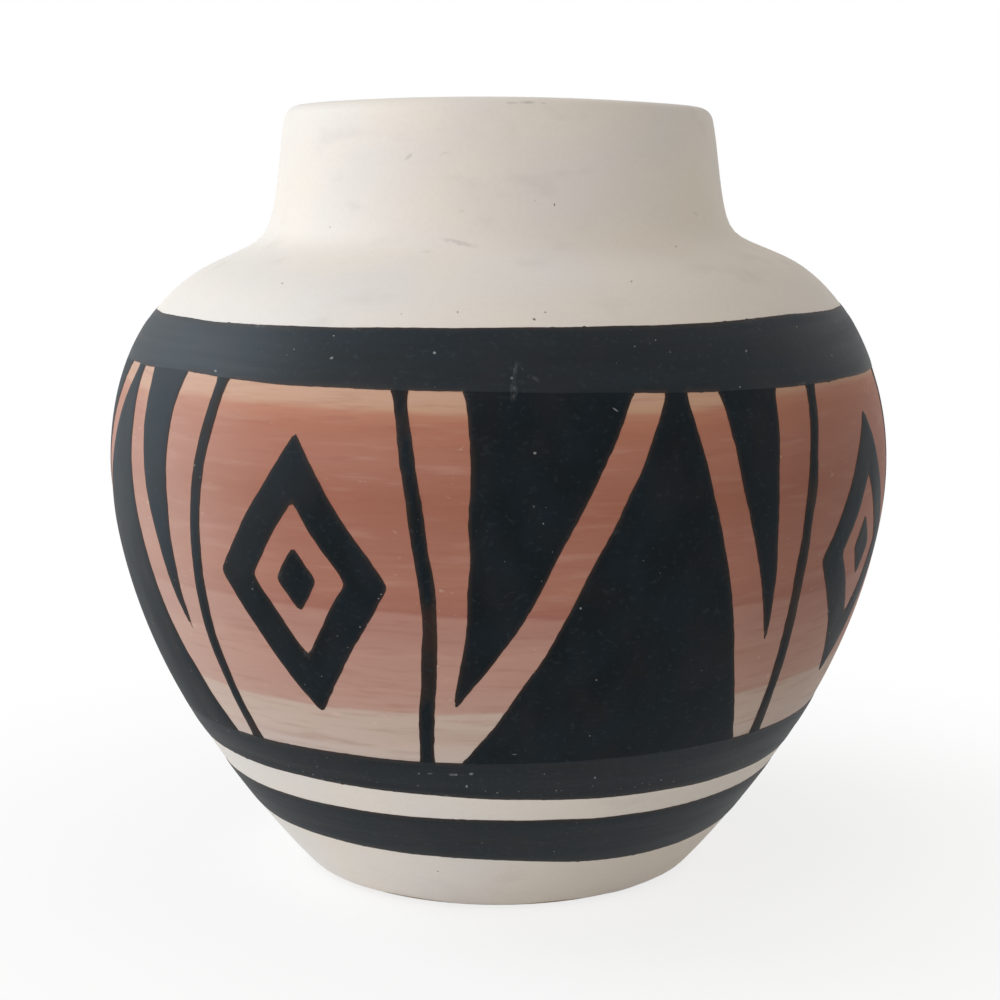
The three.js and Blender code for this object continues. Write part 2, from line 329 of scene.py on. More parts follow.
# Two rows of points lie at a coat's open edge, at these shares of the width over which it is rounded. The
# last row on the floor is so far off its middle.
EDGE_ROWS = np.array([0.3, 1.0])
OFF_THE_MIDDLE = 1.0


def skin(name, start, end, under, over, material, node, slot, step=1.4, edge=0.5, edge_height=0.3):
    """A coat all round the jar, from one depth off the clay to another, with its rows a step apart. Its
    start and end are runs, which may change with the turn. Over the width of an edge, its open edges are
    rounded down to a share of its thickness, the edge height. One that ends at the floor's middle is
    closed there."""
    to_middle = np.max(end) >= FLOOR_MIDDLE - SAME_PLACE
    length = float(np.mean(end) - np.mean(start))
    over_the_lip = (LIP_ROWS - np.mean(start)) / length
    share = np.linspace(0, 1, max(SKIN_FEWEST_ROWS, round(length / step)))
    share = np.concatenate([share, over_the_lip[(over_the_lip > 0) & (over_the_lip < 1)]])
    near_edge = EDGE_ROWS * edge / length
    share = np.sort(np.concatenate([share, near_edge] + ([] if to_middle else [1 - near_edge])))
    if to_middle:
        share = share[share < 1 - OFF_THE_MIDDLE / length]
    from_edge = length * (share if to_middle else np.minimum(share, 1 - share)) / edge
    fullness = edge_height + (1 - edge_height) * np.sqrt(1 - (1 - np.clip(from_edge, 0, 1)) ** 2)
    top = under + (over - under) * fullness
    share = np.concatenate([share, share[::-1]])[None, :]
    depth = np.concatenate([top, np.full(len(top), under)])[None, :]
    start = start + 0 * skin_angles
    points = in_space(skin_angles, start + (end - start) * share, depth).reshape(-1, 3)
    rows = share.shape[1]
    faces = ring_faces(SKIN_COLUMNS, rows, closed=True)
    if to_middle:
        inmost = rows // 2 - 1
        points = np.concatenate([points, [[0, 0, FLOOR + over], [0, 0, FLOOR + under]]])
        faces = [face for number, face in enumerate(faces) if number % rows != inmost]
        for i in range(SKIN_COLUMNS):
            here, there = i * rows + inmost, (i + 1) % SKIN_COLUMNS * rows + inmost
            faces += [(here, there, len(points) - 2), (there + 1, here + 1, len(points) - 1)]
    return make_piece(name, points, faces, material, [node])


# The painting, drawn on a grid that is laid round the jar

PAINT_COLUMNS = 696
PAINT_STEP = 0.5
PAINT_MARGIN = 2.2
paint_start = run_at(FOOT_BAND[0]) - PAINT_MARGIN
paint_end = run_at(SHOULDER_BAND[1]) + PAINT_MARGIN
paint_runs = np.arange(paint_start, paint_end, PAINT_STEP)
paint_angles = np.linspace(-math.pi, math.pi, PAINT_COLUMNS, endpoint=False)
ANGLE, RUN = np.meshgrid(paint_angles, paint_runs, indexing="ij")
wall_radius, wall_height = on_outline(RUN)[:2]

# The painter's hand wavers, slowly and quickly, by so much over such a length.
HAND_WAVERS = [(0.15, 24), (0.035, 7)]
waver_across = uneven(11, ANGLE, RUN, *HAND_WAVERS)
waver_up = uneven(13, ANGLE, RUN, *HAND_WAVERS)

# The brush leaves a slightly ragged edge, and here and there a burr of slip that stands out of it.
ragged = uneven(15, ANGLE, RUN, (0.02, 1.8), (0.035, 8))
BURR = 0.16
BURR_SPACING = 2.2
BURR_RARENESS = 1.7
burrs = BURR * np.clip(ripple(17, BURR_SPACING, ANGLE, RUN, stretch=0.6) - BURR_RARENESS, 0, 1)

CORNER_SOFTNESS = 0.3


def within(*distances):
    """The smallest of several distances into a figure, with the corners between them rounded."""
    stack = np.stack(np.broadcast_arrays(*distances))
    least = stack.min(axis=0)
    return least - CORNER_SOFTNESS * np.log(np.exp((least - stack) / CORNER_SOFTNESS).sum(axis=0))


# A drawing reaches round the jar as far as the wall faces it by this cosine.
STILL_FACING = 0.2


def drawing_at(turn):
    """Where the wall's places lie in a drawing held square to the axis at a turn from the front, and which
    of them face it."""
    across = wall_radius * np.sin(ANGLE - turn) + waver_across
    up = wall_height - BELT[0] + waver_up
    return across, up, np.cos(ANGLE - turn) > STILL_FACING


def straight_sided(corners, across, up):
    """Distances into a figure whose corners run anticlockwise."""
    distances = []
    for (x0, y0), (x1, y1) in zip(corners, corners[1:] + corners[:1]):
        length = math.hypot(x1 - x0, y1 - y0)
        distances.append(((x1 - x0) * (up - y0) - (y1 - y0) * (across - x0)) / length)
    return within(*distances)


def peak(across, up):
    half, tip = PEAK_WIDTH / 2, PEAK_SET_OVER
    left = (half + tip) / BELT_WIDTH * OVER_THE_EDGE
    right = (half - tip) / BELT_WIDTH * OVER_THE_EDGE
    top = BELT_WIDTH + TIP_OVER_THE_EDGE
    return straight_sided([
        (-half - left, -OVER_THE_EDGE), (half + right, -OVER_THE_EDGE),
        (tip + TIP_WIDTH / 2, top), (tip - TIP_WIDTH / 2, top),
    ], across, up)


def tooth(side, across, up):
    """A tooth that hangs beside the peak, with a channel of even width between them."""
    run = side * PEAK_WIDTH / 2 - PEAK_SET_OVER
    near = PEAK_SET_OVER + side * CHANNEL * math.hypot(run, BELT_WIDTH) / BELT_WIDTH
    far = side * (PEAK_WIDTH / 2 + TOOTH_OVERHANG)
    slope = run / BELT_WIDTH
    top = BELT_WIDTH + OVER_THE_EDGE
    corners = [(near - slope * OVER_THE_EDGE, top), (far, top), (far, BELT_WIDTH - (far - near) / slope)]
    return straight_sided(corners[::-side], across, up)


def lozenge_inset(inset, across, up):
    """The lozenge with all four sides moved in by so much."""
    half_wide, half_high = LOZENGE_WIDTH / 2, BELT_WIDTH / 2 - LOZENGE_CLEARANCE
    to_side = half_wide * half_high / math.hypot(half_wide, half_high)
    return within(*[
        (1 - a * across / half_wide - b * (up - BELT_WIDTH / 2) / half_high) * to_side - inset
        for a in (-1, 1) for b in (-1, 1)
    ])


def lozenge(across, up):
    return within(lozenge_inset(0, across, up), -lozenge_inset(LOZENGE_BORDER, across, up))


def lozenge_heart(across, up):
    return lozenge_inset(LOZENGE_BORDER + HEART_CLEARANCE, across, up)


def bow(side, across, up):
    """A line beside the lozenge, drawn in towards it at both ends."""
    drawn_in = BOW_DEPTH * (1 - np.sin(math.pi * np.clip(up / BELT_WIDTH, 0, 1)))
    middle = LOZENGE_WIDTH / 2 + BOW_STANDOFF + LINE_WIDTH / 2 - drawn_in
    line = LINE_WIDTH / 2 - np.abs(side * across - middle)
    return within(line, up + OVER_THE_EDGE, BELT_WIDTH + OVER_THE_EDGE - up)


# The painter's hand sank a little as it passed this turn.
HAND_SANK_AT = math.radians(31)
HAND_SANK_OVER = math.radians(24)
sunk = np.exp(-((ANGLE - HAND_SANK_AT) / HAND_SANK_OVER) ** 2)

# How a band's lower edge wavers, how much of that its upper edge has, and how ragged both are beside a
# figure's edge.
BAND_WAVERS = [(0.1, 45), (0.03, 14)]
UPPER_EDGE_WAVERS = 0.7
BAND_RAGGED = 0.6


def band(edges, lifts, tilts, sinks, seed):
    """A band turned on the wheel. Its lower and its upper edge are each lifted off their true height,
    tilted up towards +X and sunk where the hand sank, and waver slowly. The upper edge wavers as the lower
    one does on the other side, though less."""
    waver = uneven(seed, ANGLE, 0 * RUN, *BAND_WAVERS)
    low, high = [
        edge + lift + tilt * np.sin(ANGLE) - sink * sunk
        for edge, lift, tilt, sink in zip(edges, lifts, tilts, sinks)
    ]
    bottom = run_at(low + waver)
    top = run_at(high + UPPER_EDGE_WAVERS * waver[::-1])
    return within(RUN - bottom, top - RUN) + BAND_RAGGED * ragged + burrs


bands = {
    "foot_band": band(FOOT_BAND, (0, 0), (-0.85, 0), (1.05, 0.5), 21),
    "waist_band": band(WAIST_BAND, (0, 0), (-0.7, 0.1), (0.7, 0), 23),
    "shoulder_band": band(SHOULDER_BAND, (-0.7, -0.3), (-0.85, 0), (0, 0), 25),
}
off_the_bands = -np.maximum(bands["waist_band"], bands["shoulder_band"])

# Slip gathers in the corners where a figure meets a band, and the figure's edge is hidden under the band's.
GATHERED = 0.25
GATHERED_REACH = 0.45
UNDER_THE_BAND = 0.45
gathered = GATHERED * np.exp(-np.abs(off_the_bands) / GATHERED_REACH)

# The distance given where a figure isn't drawn at all.
FAR_OUTSIDE = -9

figures = {}
for repeat in range(REPEATS):
    peak_turn = FIRST_PEAK_TURN + repeat * TURN / REPEATS
    across, up, facing = drawing_at(peak_turn)
    drawn = {
        "peak": peak(across, up),
        "tooth_left": tooth(-1, across, up),
        "tooth_right": tooth(1, across, up),
    }
    across, up, facing_lozenge = drawing_at(peak_turn + TURN / REPEATS / 2)
    drawn_lozenge = {
        "lozenge": lozenge(across, up),
        "lozenge_heart": lozenge_heart(across, up),
        "bow_left": bow(-1, across, up),
        "bow_right": bow(1, across, up),
    }
    for group, seen in ((drawn, facing), (drawn_lozenge, facing_lozenge)):
        for name, distance in group.items():
            figures[f"{name}_{repeat + 1}"] = np.where(seen, distance + ragged + gathered, FAR_OUTSIDE)

all_black = np.maximum.reduce(list(bands.values()) + list(figures.values()))

# The wash runs on under the bands, so the black steps down from it to the slip there.
WASH_INSET = 1.6
WASH_EDGES = (run_at(WAIST_BAND[0] + WASH_INSET), run_at(SHOULDER_BAND[1] - WASH_INSET))
WASH_FEATHER = 1.0


def ground_depth(run):
    """The depth of what lies under the black."""
    on_wash = np.clip((run - WASH_EDGES[0]) / WASH_FEATHER, 0, 1)
    on_wash = on_wash * np.clip((WASH_EDGES[1] - run) / WASH_FEATHER, 0, 1)
    return SLIP + (HAIR + WASH) * on_wash * on_wash * (3 - 2 * on_wash)


def corner_first(triangles, corner):
    """Triangles turned so that each starts with one given corner."""
    order = (corner[:, None] + np.arange(3)) % 3
    return np.take_along_axis(triangles, order, axis=1)


# How far in from its edge a coat reaches its full depth, the share of that depth at the edge itself, and
# how far in the slip is so thin that the brown shows.
PAINT_ROUND = 1.0
PAINT_EDGE_SHARE = 0.3
THIN_EDGE = 0.45


def painted(name, distance, depth, material):
    """A closed coat over the part of the grid where a distance is positive. Cells that its edge crosses are
    cut to the edge, and the coat swells from a thin edge to its full depth."""
    columns, rows = distance.shape
    flat = distance.ravel()
    i, j = [index.ravel() for index in np.meshgrid(np.arange(columns), np.arange(rows - 1), indexing="ij")]
    here, there = i * rows + j, (i + 1) % columns * rows + j
    cells = np.stack([here, there, there + 1, here + 1], axis=1)
    wet = flat[cells] > 0
    whole_cells = cells[wet.all(axis=1)]
    crossed = wet.any(axis=1) & ~wet.all(axis=1)
    even = ((i + j) % 2 == 0)[crossed]
    cells = cells[crossed]
    triangles = np.concatenate([
        cells[even][:, [0, 1, 2]], cells[even][:, [0, 2, 3]],
        cells[~even][:, [0, 1, 3]], cells[~even][:, [1, 2, 3]],
    ])
    wet = flat[triangles] > 0
    count = wet.sum(axis=1)
    whole = triangles[count == 3]
    one_wet = corner_first(triangles[count == 1], wet[count == 1].argmax(axis=1))
    one_dry = corner_first(triangles[count == 2], (~wet[count == 2]).argmax(axis=1))

    total = columns * rows
    crossings = np.concatenate([one_wet[:, :2], one_wet[:, ::2], one_dry[:, :2], one_dry[:, ::2]])
    keys, cut = np.unique(crossings.min(axis=1) * total + crossings.max(axis=1), return_inverse=True)
    ends = np.cumsum([len(one_wet), len(one_wet), len(one_dry)])
    wet_a, wet_b, dry_a, dry_b = np.split(cut.ravel() + total, ends)
    low, high = keys // total, keys % total
    share = flat[low] / (flat[low] - flat[high])

    def with_cuts(values):
        values = values.ravel()
        return np.concatenate([values, values[low] * (1 - share) + values[high] * share])

    # Angles are shared out across the seam at the back, where they start again.
    angle = ANGLE.ravel()
    step = (angle[high] - angle[low] + math.pi) % TURN - math.pi
    angle = np.concatenate([angle, angle[low] + share * step])
    run, from_edge = with_cuts(RUN), with_cuts(all_black)

    groups = [
        whole_cells, whole,
        np.stack([one_wet[:, 0], wet_a, wet_b], axis=1),
        np.stack([dry_a, one_dry[:, 1], one_dry[:, 2], dry_b], axis=1),
    ]
    used = np.unique(np.concatenate([group.ravel() for group in groups]))
    faces = [face for group in groups for face in np.searchsorted(used, group).tolist()]
    edge_from = np.searchsorted(used, np.concatenate([wet_a, dry_b])).tolist()
    edge_to = np.searchsorted(used, np.concatenate([wet_b, dry_a])).tolist()

    angle, run, from_edge = angle[used], run[used], from_edge[used]
    fullness = np.sin(np.clip(from_edge / PAINT_ROUND, 0, 1) * math.pi / 2)
    under = ground_depth(run) + HAIR
    over = under + depth * (PAINT_EDGE_SHARE + (1 - PAINT_EDGE_SHARE) * fullness)
    points = np.concatenate([in_space(angle, run, over), in_space(angle, run, under)])
    beneath = len(used)
    solid = faces + [[v + beneath for v in reversed(face)] for face in faces]
    solid += [[q, p, p + beneath, q + beneath] for p, q in zip(edge_from, edge_to)]
    piece = make_piece(name + "_paint", points, solid, material, [name], sharp=60)
    thin = piece.data.attributes.new("thin_edge", "FLOAT", "POINT")
    thin.data.foreach_set("value", np.tile(np.clip(1 - from_edge / THIN_EDGE, 0, 1), 2))
    return piece


# Finishes

def linear(hex_colour):
    """An sRGB colour as linear light."""
    values = [int(hex_colour[k:k + 2], 16) / 255 for k in (1, 3, 5)]
    return tuple(v / 12.92 if v <= 0.04045 else ((v + 0.055) / 1.055) ** 2.4 for v in values) + (1.0,)


def add(tree, kind, inputs=(), stops=(), **settings):
    """Adds a node. A node or socket given for an input is linked to it, and a value is set on it."""
    node = tree.nodes.new("ShaderNode" + kind)
    for name, value in settings.items():
        setattr(node, name, value)
    for socket, value in dict(inputs).items():
        if isinstance(value, bpy.types.Node):
            value = value.outputs[0]
        if isinstance(value, bpy.types.NodeSocket):
            tree.links.new(value, node.inputs[socket])
        else:
            node.inputs[socket].default_value = value
    for number, (position, colour) in enumerate(stops):
        element = node.color_ramp.elements.new(position) if number > 1 else node.color_ramp.elements[number]
        element.position = position
        element.color = linear(colour)
    return node


def start_finish(name, **constants):
    """A new material with constants set on its shader, and the place on the jar that its patterns use."""
    made = bpy.data.materials.new(name)
    made.use_nodes = True
    tree = made.node_tree
    shader = tree.nodes["Principled BSDF"]
    for socket, value in constants.items():
        shader.inputs[socket.replace("_", " ")].default_value = value
    return made, tree, shader, add(tree, "TexCoord").outputs["Object"]


def coloured(tree, shader, ground, marks):
    """Lays the colours of marks over a ground, each as strongly as its pattern shows it."""
    for pattern, colour in marks:
        ground = add(tree, "MixRGB", {"Fac": pattern, "Color1": ground, "Color2": linear(colour)})
    tree.links.new(ground.outputs[0], shader.inputs["Base Color"])


def roughened(tree, shader, pattern, depth):
    """Gives a surface the relief of a pattern, so many millimetres deep."""
    relief = add(tree, "Bump", {"Height": pattern, "Distance": depth * MM})
    tree.links.new(relief.outputs[0], shader.inputs["Normal"])


def patches(tree, place, wide, high, start=0.0, full=1.0, most=1.0, detail=2.0, seed=0.0):
    """Soft patches so many millimetres wide round the jar and so many high. They start where the noise
    that they are made from passes one value, and reach their most at another."""
    scale = (1 / (wide * MM), 1 / (wide * MM), 1 / (high * MM))
    stretched = add(tree, "Mapping", {"Vector": place, "Location": (seed, seed, seed), "Scale": scale})
    noise = add(tree, "TexNoise", {"Vector": stretched, "Scale": 1.0, "Detail": detail})
    return add(tree, "MapRange", {"Value": noise, "From Min": start, "From Max": full, "To Max": most},
               interpolation_type="SMOOTHSTEP")


SMALLEST_SPECK = 0.4


def specks(tree, place, spacing, radius, most=1.0, seed=0.0):
    """Round specks of up to a radius, strewn so far apart in the body, each of its own size. They are at
    their strongest within half of their own radius."""
    scale = (1 / (spacing * MM),) * 3
    largest = radius / spacing
    strewn = add(tree, "Mapping", {"Vector": place, "Location": (seed, seed, seed), "Scale": scale})
    nearest = add(tree, "TexVoronoi", {"Vector": strewn, "Scale": 1.0})
    chance = add(tree, "SeparateColor", {0: nearest.outputs["Color"]})
    reach = add(tree, "MapRange", {"Value": chance, "To Min": SMALLEST_SPECK * largest, "To Max": largest})
    share = add(tree, "Math", {0: nearest.outputs["Distance"], 1: reach}, operation="DIVIDE")
    return add(tree, "MapRange", {"Value": share, "From Min": 1.0, "From Max": 0.5, "To Max": most})


# Marks on the front, of wear, and a darker smudge along the lip. Each has its middle's x and z, its length
# and width, its rise to the right in degrees, and its strength. They lie in ovals about this middle y, with
# this reach to the front and back.
FRONT = -50
FRONT_REACH = 60
SLIP_RUBS = [
    # The first three are a darker smudge along the crest of the lip, right of the front.
    (1.7, 106.9, 2.2, 0.6, 0, 0.3),
    (3.7, 107.0, 3.0, 0.6, 0, 0.4),
    (5.7, 106.9, 1.4, 0.4, 0, 0.25),
    (-5.0, 89.5, 6.4, 0.9, -11, 0.3),
    (-9.0, 88.4, 2.4, 0.5, 5, 0.15),
    (-11.4, 100.2, 2.0, 0.7, 40, 0.28),
    (-6.8, 100.6, 1.8, 0.6, 10, 0.22),
    (-4.8, 93.4, 1.5, 0.5, 0, 0.25),
    (26.1, 92.8, 1.8, 0.5, -35, 0.25),
]
SLIP_PINHOLES = [
    (7.1, 94.2, 0.3, 0.55, 0, 0.95),
    (4.6, 94.7, 0.2, 0.3, 0, 0.5),
    (22.9, 88.8, 0.5, 0.25, -30, 0.7),
    (16.4, 85.0, 0.4, 0.3, 0, 0.6),
    (4.3, 80.9, 0.55, 0.35, -20, 0.95),
    (-4.9, 81.7, 0.3, 0.35, 20, 0.7),
    (-11.7, 81.4, 0.3, 0.25, 0, 0.4),
    (-27.3, 84.4, 0.45, 0.3, 10, 0.6),
]
BLACK_RUBS = [
    (2.0, 75.2, 3.0, 0.7, 84, 0.2),
    (1.8, 72.8, 3.2, 1.2, 86, 0.26),
    (2.7, 75.6, 1.8, 0.35, -60, 0.18),
    (4.4, 74.2, 1.5, 0.6, -30, 0.13),
    (-5.8, 23.7, 1.4, 0.6, 5, 0.5),
]
BLACK_SCUFFS = [
    (1.6, 74.3, 0.5, 0.45, 0, 0.4),
    (-7.6, 77.1, 0.5, 0.4, 0, 0.85),
    (-20.1, 76.2, 0.6, 0.35, 25, 0.7),
    (-35.3, 73.8, 0.5, 0.4, 0, 0.75),
    (30.6, 76.5, 0.35, 0.4, 0, 0.6),
    (13.9, 70.5, 1.1, 0.25, -35, 0.6),
    (16.3, 68.6, 1.2, 0.3, -35, 0.6),
    (4.3, 65.7, 0.5, 0.4, 0, 0.75),
    (-5.3, 23.7, 0.5, 0.4, 0, 0.5),
    (-8.6, 23.7, 0.9, 0.3, 0, 0.3),
    (-10.0, 23.6, 0.4, 0.35, 0, 0.4),
    (-3.4, 23.9, 0.7, 0.5, 10, 0.6),
    (-4.0, 21.9, 0.35, 0.6, 0, 0.8),
    (12.2, 22.7, 0.4, 0.45, 0, 0.6),
    (2.0, 26.9, 0.8, 0.25, 0, 0.35),
]


def mark_on_front(tree, place, x, z, long, wide, rise, strength):
    """One soft-edged oval mark, which fades to nothing at its rim and doesn't reach through to the back."""
    in_mark = add(tree, "Mapping", {
        "Vector": place,
        "Location": (x * MM, FRONT * MM, z * MM),
        "Rotation": (0, -math.radians(rise), 0),
        "Scale": (long / 2 * MM, FRONT_REACH * MM, wide / 2 * MM),
    }, vector_type="TEXTURE")
    from_middle = add(tree, "VectorMath", {0: in_mark}, operation="LENGTH").outputs["Value"]
    return add(tree, "MapRange", {
        "Value": from_middle, "From Min": 1.0, "From Max": 0.3, "To Max": strength,
    }, interpolation_type="SMOOTHSTEP")


def cream_slip():
    """White earthenware slip, poured on and sponged, then fired without glaze. It is smooth and dull, a
    little warmer in some places than in others, with a few pinholes and the grey rubs of handling."""
    made, tree, shader, place = start_finish("cream_slip_sponged", Roughness=0.6, Specular_IOR_Level=0.35)
    height = add(tree, "SeparateXYZ", {0: place}).outputs["Z"]
    warmer = patches(tree, place, 26, 16, 0.35, 0.65)
    mottle = patches(tree, place, 0.6, 0.6, 0.35, 0.75, 0.12, detail=4)
    handled = patches(tree, place, 9, 4, 0.56, 0.78, 0.18, detail=3, seed=4)
    # Darker in patches towards the foot, over its lowest 5 mm.
    near_foot = add(tree, "MapRange", {
        "Value": height, "From Min": 5 * MM, "From Max": 0.5 * MM, "To Max": 0.1,
    })
    patches_near_foot = patches(tree, place, 8, 3, 0.4, 0.7, seed=6)
    marks = [
        (warmer, "#ede4da"),
        (mottle, "#d6cdc4"),
        (handled, "#b9afa8"),
        (add(tree, "Math", {0: near_foot, 1: patches_near_foot}, operation="MULTIPLY"), "#8f8376"),
        (specks(tree, place, 6.5, 0.2, 0.8), "#6e5b4b"),
    ]
    patchy = patches(tree, place, 0.8, 0.4, 0.3, 0.55, detail=3, seed=2)
    for rub in SLIP_RUBS:
        mark = mark_on_front(tree, place, *rub)
        marks.append((add(tree, "Math", {0: mark, 1: patchy}, operation="MULTIPLY"), "#8b807b"))
    for pinhole in SLIP_PINHOLES:
        marks.append((mark_on_front(tree, place, *pinhole), "#5d5148"))
    coloured(tree, shader, linear("#e7e1dc"), marks)
    grain = patches(tree, place, 0.5, 0.5, detail=4)
    sponged = patches(tree, place, 30, 2.4, seed=3)
    relief = add(tree, "Math", {0: grain, 1: 0.3, 2: sponged}, operation="MULTIPLY_ADD")
    roughened(tree, shader, relief, 0.02)
    return made


def clear_glaze():
    """Clear glaze, poured in and out over the pale inside: glossy and wet-looking, a little thicker and
    greyer where it ran together at the bottom."""
    made, tree, shader, place = start_finish("clear_glaze_poured", Roughness=0.12)
    height = add(tree, "SeparateXYZ", {0: place}).outputs["Z"]
    ran_together = add(tree, "MapRange", {
        "Value": height, "From Min": 30 * MM, "From Max": FLOOR * MM, "To Max": 0.8,
    }, interpolation_type="SMOOTHSTEP")
    coloured(tree, shader, linear("#e7ddcf"), [
        (patches(tree, place, 16, 16, 0.3, 0.7), "#ece4d8"),
        (ran_together, "#d3cbb9"),
        (specks(tree, place, 4.5, 0.25, seed=5), "#7d6550"),
    ])
    roughened(tree, shader, patches(tree, place, 9, 9, seed=2), 0.12)
    return made


def bare_clay():
    """Pale earthenware, fired bare: dry and fine-grained, with darker grit, and greyed on the ring that it
    stands on."""
    made, tree, shader, place = start_finish("pale_earthenware_bare", Roughness=0.9,
                                             Specular_IOR_Level=0.25)
    height = add(tree, "SeparateXYZ", {0: place}).outputs["Z"]
    stood_on = add(tree, "MapRange", {
        "Value": height, "From Min": 0.35 * MM, "From Max": 0.05 * MM, "To Max": 0.4,
    })
    coloured(tree, shader, linear("#c9b39d"), [
        (patches(tree, place, 12, 12, 0.35, 0.65), "#d6c3af"),
        (patches(tree, place, 0.6, 0.6, 0.4, 0.75, 0.5, detail=4), "#a68d76"),
        (specks(tree, place, 1.4, 0.2), "#7a604c"),
        (stood_on, "#8d8073"),
    ])
    roughened(tree, shader, patches(tree, place, 0.6, 0.6, detail=4), 0.05)
    return made


# A painted sheen on the left, paler where the window light falls, and a painted shade on the right, darker,
# as marks on the front.
WASH_PAINTED_SHEEN_LEFT = (-55, 46, 64, 110, 0, 0.46)
WASH_PAINTED_SHADE_RIGHT = (52, 49, 60, 110, 0, 0.4)

# How the belt's tone changes up it: heights from the foot, in the order that the passes of the brush were
# laid. Each pass starts with a crisp edge and is thinned out towards the next.
WASH_PASSES = [
    (25.7, "#cbbab1"), (28.5, "#cdb8ac"), (32.4, "#c8b1a4"),
    (32.8, "#bd9789"), (36.0, "#bb9083"), (40.0, "#ba8f80"), (43.0, "#b08074"), (45.4, "#b38475"),
    (45.9, "#a46c5d"), (49.5, "#ab7360"), (53.0, "#a8705f"), (60.0, "#a0644f"), (64.0, "#aa705d"),
    (68.5, "#ad7059"), (70.1, "#b97e65"), (70.9, "#c69b81"), (73.1, "#caa28a"),
]

# How far the passes waver up and down: slowly, as the jar turned, and raggedly, with the brush's hairs.
PASS_WAVER = 1.5
PASS_RAGGED = 0.3


def terracotta_wash():
    """Thin terracotta slip, laid on with a wide soft brush as the jar turned on the wheel. It is in passes
    of different strength, each of them streaked along the brush's way, and is dry and dull."""
    made, tree, shader, place = start_finish("terracotta_wash_brushed", Roughness=0.62,
                                             Specular_IOR_Level=0.35)
    height = add(tree, "SeparateXYZ", {0: place}).outputs["Z"]
    slow = patches(tree, place, 34, 30, 0.25, 0.75, seed=11)
    quick = patches(tree, place, 9, 1.2, 0.25, 0.75, detail=4, seed=12)
    height = add(tree, "Math", {0: slow, 1: PASS_WAVER * MM, 2: height}, operation="MULTIPLY_ADD")
    height = add(tree, "Math", {0: quick, 1: PASS_RAGGED * MM, 2: height}, operation="MULTIPLY_ADD")
    middle = (PASS_WAVER + PASS_RAGGED) / 2
    up_the_belt = add(tree, "MapRange", {
        "Value": height, "From Min": (BELT[0] + middle) * MM, "From Max": (BELT[1] + middle) * MM,
    })
    passes = add(tree, "ValToRGB", {"Fac": up_the_belt},
                 stops=[((at - BELT[0]) / BELT_WIDTH, colour) for at, colour in WASH_PASSES])
    streaks = patches(tree, place, 7.5, 0.7, 0.48, 0.78, 0.3, detail=5, seed=1)
    pale_streaks = patches(tree, place, 10, 1.2, 0.5, 0.8, 0.24, detail=4, seed=7)
    loaded_brush = patches(tree, place, 45, 4, 0.48, 0.72, 0.22, detail=2, seed=9)
    rubs = patches(tree, place, 1.6, 0.9, 0.64, 0.76, 0.45, detail=3, seed=5)
    rubbed_here = patches(tree, place, 12, 9, 0.52, 0.62, seed=8)
    coloured(tree, shader, passes, [
        (streaks, "#94594a"),
        (pale_streaks, "#cfa898"),
        (loaded_brush, "#9c6352"),
        (add(tree, "Math", {0: rubs, 1: rubbed_here}, operation="MULTIPLY"), "#dcbcab"),
        # A painted sheen, paler, on the left of the belt, and a painted shade, darker, on its right.
        (mark_on_front(tree, place, *WASH_PAINTED_SHEEN_LEFT), "#d0b4a8"),
        (mark_on_front(tree, place, *WASH_PAINTED_SHADE_RIGHT), "#6e4a3f"),
        (specks(tree, place, 3.2, 0.14, seed=3), "#e4d3c8"),
    ])
    grain = patches(tree, place, 0.5, 0.5, detail=3)
    relief = add(tree, "Math", {0: grain, 1: 0.2, 2: streaks}, operation="MULTIPLY_ADD")
    roughened(tree, shader, relief, 0.02)
    return made


# The jar has been laid and leaned on the lower edge of its waist band, which picked up pale specks there:
# about this height, all over within the width of it, and fewer up to the reach.
LAID_ON_HEIGHT = 20.6
LAID_ON_WIDTH = 0.6
LAID_ON_REACH = 2.2

# A painted sheen on the black's left side, where the window light falls, as a mark on the front.
BLACK_PAINTED_SHEEN_LEFT = (-55, 70, 72, 80, 0, 0.32)


